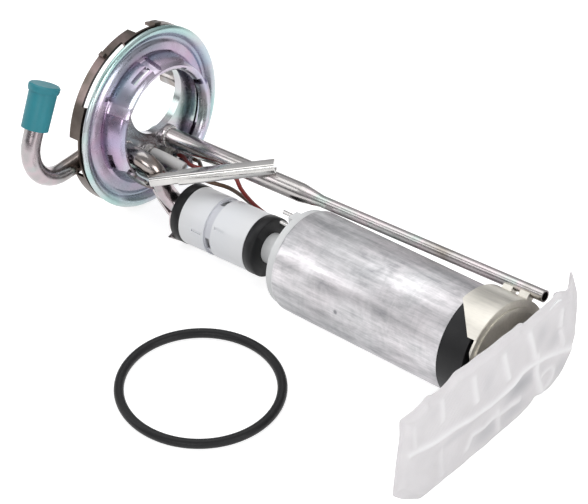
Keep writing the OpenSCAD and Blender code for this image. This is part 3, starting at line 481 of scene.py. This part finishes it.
def from_line(p, a, b):
    """Distance of a flat point from a stretch of line."""
    ax, ay, bx, by = p[0] - a[0], p[1] - a[1], b[0] - a[0], b[1] - a[1]
    t = max(0.0, min(1.0, (ax * bx + ay * by) / (bx * bx + by * by)))
    return math.hypot(ax - t * bx, ay - t * by)


def rise(value, low, high):
    t = max(0.0, min(1.0, (value - low) / (high - low)))
    return t * t * (3 - 2 * t)


def resampled(points, count):
    """The closed outline in evenly spaced points, its corners a little rounded."""
    whole = list(points) + [points[0]]
    lengths = [math.dist(a, b) for a, b in zip(whole, whole[1:])]
    total, found = sum(lengths), []
    for i in range(count):
        want, k = total * i / count, 0
        while want > lengths[k]:
            want -= lengths[k]
            k += 1
        t = want / lengths[k]
        found.append((whole[k][0] + (whole[k + 1][0] - whole[k][0]) * t,
                      whole[k][1] + (whole[k + 1][1] - whole[k][1]) * t))
    for _ in range(2):
        found = [((found[i - 1][0] + 2 * p[0] + found[(i + 1) % count][0]) / 4,
                  (found[i - 1][1] + 2 * p[1] + found[(i + 1) % count][1]) / 4)
                 for i, p in enumerate(found)]
    return found


def sock_height(p, side):
    """Height of the fabric over the strainer plane, and how much a rib shows less the painted shade of the
    pockets, at a flat point in mm.
    """
    u, v = p
    edge = min(from_line(p, a, b) for a, b in zip(SOCK_OUTLINE, SOCK_OUTLINE[1:] + SOCK_OUTLINE[:1]))
    low = rise(-v, 20.0, 30.0)
    seam = SEAM_W * (1 - 0.55 * low)
    body = rise(edge, seam * 0.6, seam * 0.6 + 3.6 - 1.4 * low)
    over_corner = math.hypot(u - FRAME_CORNER[0], v - FRAME_CORNER[1]) / 2.2
    body = max(body, 0.9 * math.exp(-over_corner ** 2))
    ribs, mark = 0.0, 0.0
    for points, width, lift in SOCK_RIBS:
        away = min(from_line(p, a, b) for a, b in zip(points, points[1:]))
        shape = math.exp(-(away / width) ** 2)
        ribs, mark = max(ribs, lift * shape), max(mark, min(1.0, lift * 1.1) * shape)
    foot = math.exp(-((math.hypot(u - SOCK_FOOT[0], v - SOCK_FOOT[1]) - SOCK_FOOT[2]) / 1.1) ** 2)
    ribs, mark = max(ribs, 0.5 * foot), max(mark, 0.6 * foot)
    slack = math.sin(u * 0.21 + v * 0.13) * math.sin(v * 0.27 - u * 0.06)
    slack += 0.5 * math.sin(u * 0.44 - v * 0.3)
    crease = math.sin((u + v * 0.6) * 0.9 + 1.4 * math.sin(v * 0.35))
    crease *= rise(abs(u + 20) + abs(v), 20, 60)
    tent = 0.5 * math.exp(-((v + 7) / 9) ** 2)
    height = SEAM_HALF_T + body * (SOCK_BODY_T - SEAM_HALF_T + tent + ribs + 0.16 * slack + 0.07 * crease)
    if edge < seam:
        height += 0.07 * math.sin(edge / seam * math.tau * 1.5) + 0.05 * math.sin(u * 1.3 + v)
    if side < 0:
        height = SEAM_HALF_T + body * (SOCK_BODY_T + 0.3 - SEAM_HALF_T + 0.1 * slack)
    # Painted shade: the pockets grey the colour mark, besides sinking the fabric a little.
    pocket = max(
        deep * math.exp(-((u - a) / wide) ** 2 - ((v - b) / high) ** 2)
        for a, b, wide, high, deep in SOCK_POCKETS
    )
    return max(height - 0.35 * pocket * body, 0.25), mark * body - pocket * (1 - mark)


# Share of the fabric's height at the first rings in from its edge
EDGE_THINNING = (0.06, 0.5, 0.85)
# The long middle line of the strainer that its rings close on, in mm
SOCK_SPINE = ((-42.0, -6.0), (14.0, -5.0))


def on_spine(x):
    (ax, ay), (bx, by) = SOCK_SPINE
    return (x, ay + (by - ay) * (x - ax) / (bx - ax))


def strainer_fabric():
    """The closed pocket of mesh fabric, with its rib mark and painted pocket shade, and its flat map."""
    around, rings = 300, 62
    outline = resampled(SOCK_OUTLINE, around)
    points, rib_light_and_pocket_shade, flats, faces = [], [], [], []

    def pulled(p, share):
        """A point on the way from the outline to the long middle line."""
        target = on_spine(max(SOCK_SPINE[0][0], min(SOCK_SPINE[1][0], p[0] * 0.86)))
        in_ear = rise(p[0], 22.0, 30.0) * rise(p[1], 14.0, 20.0)
        by = [(a + b) / 2 + (c - (a + b) / 2) * in_ear for a, b, c in zip(p, target, EAR_ROOT)]
        start, middle, end = (1 - share) ** 2, 2 * share * (1 - share), share ** 2
        return tuple(a * start + b * middle + c * end for a, b, c in zip(p, by, target))

    for side in (1, -1):
        start = len(points)
        for ring in range(rings + 1):
            share = ring / rings
            for p in outline:
                q = pulled(p, share)
                if ring == rings:
                    q = on_spine(round(q[0]))
                height, mark = sock_height(q, side)
                if ring < len(EDGE_THINNING):
                    height *= EDGE_THINNING[ring]
                points.append(SOCK @ (Vector((side * height, q[0], q[1])) * MM))
                rib_light_and_pocket_shade.append(mark)
                flats.append((q[0] * MM, q[1] * MM))
        for ring in range(rings):
            for i in range(around):
                a = start + ring * around + i
                b = start + ring * around + (i + 1) % around
                quad = (a, b, b + around, a + around)
                faces.append(quad if side < 0 else quad[::-1])
    second = (rings + 1) * around
    for i in range(around):
        j = (i + 1) % around
        faces.append((i, j, second + j, second + i))
    points, faces, first = joined(points, faces)
    rib_light_and_pocket_shade, flats = [rib_light_and_pocket_shade[i] for i in first], [flats[i] for i in first]
    thing = mesh_piece("strainer_fabric", points, faces, sock_fabric, frame_body("strainer_sock"))
    mesh = thing.data
    tag = mesh.attributes.new("rib", "FLOAT", "POINT")
    tag.data.foreach_set("value", rib_light_and_pocket_shade)
    layer = mesh.uv_layers.new(name="cloth")
    for loop in mesh.loops:
        layer.data[loop.index].uv = flats[loop.vertex_index]
    return thing


def frame_body(node):
    return frame["nodes"][node]["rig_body"]


for name, thing in frame["nodes"].items():
    slot = OWN_FINISH.get(name) or slot_of[name]
    paint(thing, sock_fabric if slot == "sock_fabric" else finishes[slot])

fabric = strainer_fabric()
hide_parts("strainer_sock")


def rounded_skin(node, sharp):
    """The node's own shape in a joined mesh, shaded as one skin but for edges over the sharp angle."""
    source = frame["nodes"][node]
    points, faces, _ = joined(
        [vertex.co for vertex in source.data.vertices], [face.vertices for face in source.data.polygons]
    )
    thing = mesh_piece(node + "_skin", points, faces, source.data.materials[0], frame_body(node))
    thing.data.set_sharp_from_angle(angle=math.radians(sharp))
    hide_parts(node)


for name, sharp in (
    ("mounting_flange", 46), ("feed_pipe", 40), ("return_pipe", 40), ("feed_cap", 22), ("boot_inlet", 50),
    ("boot_outlet", 50), ("wire_red", 60), ("wire_brown", 60), ("pump_shell", 50), ("brace_channel", 40),
    ("vent_ferrule", 60),
):
    rounded_skin(name, sharp)


# Brazed joints

def bead_tree():
    """Node tree that lays overlapping beads along the edges of a mesh."""
    tree = bpy.data.node_groups.new("brazed_beads", "GeometryNodeTree")
    sockets = {}
    for name, kind in (
        ("Path", "Geometry"), ("Bead radius", "Float"), ("Spacing", "Float"), ("Seed", "Int"),
        ("Finish", "Material"),
    ):
        sockets[name] = tree.interface.new_socket(name, in_out="INPUT", socket_type="NodeSocket" + kind)
    tree.interface.new_socket("Beads", in_out="OUTPUT", socket_type="NodeSocketGeometry")
    made = {kind: tree.nodes.new(kind) for kind in (
        "NodeGroupInput", "GeometryNodeMeshToCurve", "GeometryNodeResampleCurve", "GeometryNodeMeshIcoSphere",
        "FunctionNodeRandomValue", "GeometryNodeInstanceOnPoints", "GeometryNodeRealizeInstances",
        "GeometryNodeSetMaterial", "NodeGroupOutput")}
    start, curve, spaced, ball, vary, placed, real, finish, end = made.values()
    spaced.mode = "LENGTH"
    ball.inputs["Subdivisions"].default_value = 2
    vary.data_type = "FLOAT_VECTOR"
    vary.inputs[0].default_value = (0.75, 0.75, 0.75)
    vary.inputs[1].default_value = (1.2, 1.2, 1.2)
    for a, b in (
        (start.outputs["Path"], curve.inputs["Mesh"]), (curve.outputs[0], spaced.inputs["Curve"]),
        (start.outputs["Spacing"], spaced.inputs["Length"]),
        (start.outputs["Bead radius"], ball.inputs["Radius"]),
        (start.outputs["Seed"], vary.inputs["Seed"]), (spaced.outputs[0], placed.inputs["Points"]),
        (ball.outputs[0], placed.inputs["Instance"]), (vary.outputs[0], placed.inputs["Scale"]),
        (placed.outputs[0], real.inputs[0]), (real.outputs[0], finish.inputs["Geometry"]),
        (start.outputs["Finish"], finish.inputs["Material"]), (finish.outputs[0], end.inputs[0]),
    ):
        tree.links.new(a, b)
    return tree, sockets


def brazed_beads(name, paths, radius, seed, body):
    """Small uneven beads of braze along paths given in mm about the flange."""
    points, edges = [], []
    for path in paths:
        edges += [(len(points) + i, len(points) + i + 1) for i in range(len(path) - 1)]
        points += [HANGER @ (Vector(p) * MM) for p in path]
    mesh = bpy.data.meshes.new(name)
    mesh.from_pydata(points, edges, [])
    thing = bpy.data.objects.new(name, mesh)
    bpy.context.scene.collection.objects.link(thing)
    tree, sockets = bead_tree()
    modifier = thing.modifiers.new("beads", "NODES")
    modifier.node_group = tree
    settings = {
        "Bead radius": radius * MM, "Spacing": radius * 1.1 * MM, "Seed": seed, "Finish": finishes["tin"],
    }
    for key, value in settings.items():
        modifier[sockets[key].identifier] = value
    view = bpy.context.evaluated_depsgraph_get()
    solid = bpy.data.meshes.new_from_object(thing.evaluated_get(view))
    thing.modifiers.clear()
    thing.data = solid
    solid.shade_smooth()
    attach(thing, body)
    return thing


def hoop(x, y, z, radius, steps=28):
    """Points round the flange direction at a place given in mm."""
    turns = [math.tau * i / steps for i in range(steps + 1)]
    return [(x, y + radius * math.cos(a), z + radius * math.sin(a)) for a in turns]


brazed_beads("brazed_joints", [
    hoop(2.7, -18.5, -5.7, 4.25), hoop(4.3, 6.2, -11.8, 4.35),
    [(181.2, 4.7, -13.6), (185.4, 4.7, -13.6)], [(189.2, 4.7, -13.6), (193.4, 4.7, -13.6)],
], 0.42, 7, frame_body("mounting_flange"))


# Table and light

def table():
    f = Finish("table_white")
    spot = f.at()
    grain = f.noise(spot, 220.0, 3.0, 0.5)
    path = f.node("ShaderNodeLightPath").socket.node
    seen, shiny, passed = (
        Out(f, path.outputs["Is %s Ray" % ray]) for ray in ("Camera", "Glossy", "Transmission")
    )
    f.done(Base_Color=f.ramp(grain, [(0.3, (0.60, 0.60, 0.60)), (0.7, (0.62, 0.62, 0.62))]),
           Roughness=0.9)
    f.shader.inputs["Emission Strength"].default_value = 1.0
    shown = f.reckon("MAXIMUM", f.reckon("MAXIMUM", seen, shiny), passed)
    glow = f.ramp(shown, [(0.0, (0.0, 0.0, 0.0)), (1.0, (0.72, 0.72, 0.72))])
    f.put(f.shader.inputs["Emission Color"], glow)
    mesh = bpy.data.meshes.new("table")
    far = 20
    mesh.from_pydata([(-far, -far, 0), (far, -far, 0), (far, far, 0), (-far, far, 0)], [], [(0, 1, 2, 3)])
    mesh.materials.append(f.material)
    thing = bpy.data.objects.new("table", mesh)
    bpy.context.scene.collection.objects.link(thing)


def room():
    world = bpy.data.worlds.new("room")
    bpy.context.scene.world = world
    world.use_nodes = True
    tree = world.node_tree
    tree.nodes.clear()
    spot = tree.nodes.new("ShaderNodeTexCoord")
    split = tree.nodes.new("ShaderNodeSeparateXYZ")
    ramp = tree.nodes.new("ShaderNodeValToRGB")
    tree.links.new(spot.outputs[0], split.inputs[0])
    tree.links.new(split.outputs[2], ramp.inputs[0])
    stops = [
        (0.0, 1.3), (0.04, 1.0), (0.09, 0.12), (0.16, 0.16), (0.34, 0.55), (0.58, 0.95), (0.80, 0.66),
        (1.0, 0.56),
    ]
    bar = ramp.color_ramp
    while len(bar.elements) < len(stops):
        bar.elements.new(0.5)
    for element, (at, level) in zip(bar.elements, stops):
        element.position, element.color = at, (level, level, level * 1.02, 1)
    around = tree.nodes.new("ShaderNodeBackground")
    around.inputs[1].default_value = 0.75
    tree.links.new(ramp.outputs[0], around.inputs[0])
    out = tree.nodes.new("ShaderNodeOutputWorld")
    tree.links.new(around.outputs[0], out.inputs[0])


def lamp(name, place, size, watts, aim=(0, 0, 0.03)):
    light = bpy.data.lights.new(name, "AREA")
    light.shape, light.size, light.size_y, light.energy = "RECTANGLE", size[0], size[1], watts
    thing = bpy.data.objects.new(name, light)
    thing.location = place
    thing.rotation_euler = (Vector(aim) - Vector(place)).to_track_quat("-Z", "Y").to_euler()
    bpy.context.scene.collection.objects.link(thing)


table()
room()
lamp("softbox_over", (-0.25, 0.15, 0.9), (0.9, 0.7), 3.2)
lamp("softbox_left", (-0.85, -0.55, 0.55), (0.6, 0.6), 2.2)
lamp("softbox_front", (0.35, -0.9, 0.5), (0.5, 0.4), 2.4)
lamp("softbox_right", (0.95, -0.05, 0.42), (0.5, 0.5), 4.2, (0.1, 0.0, 0.04))
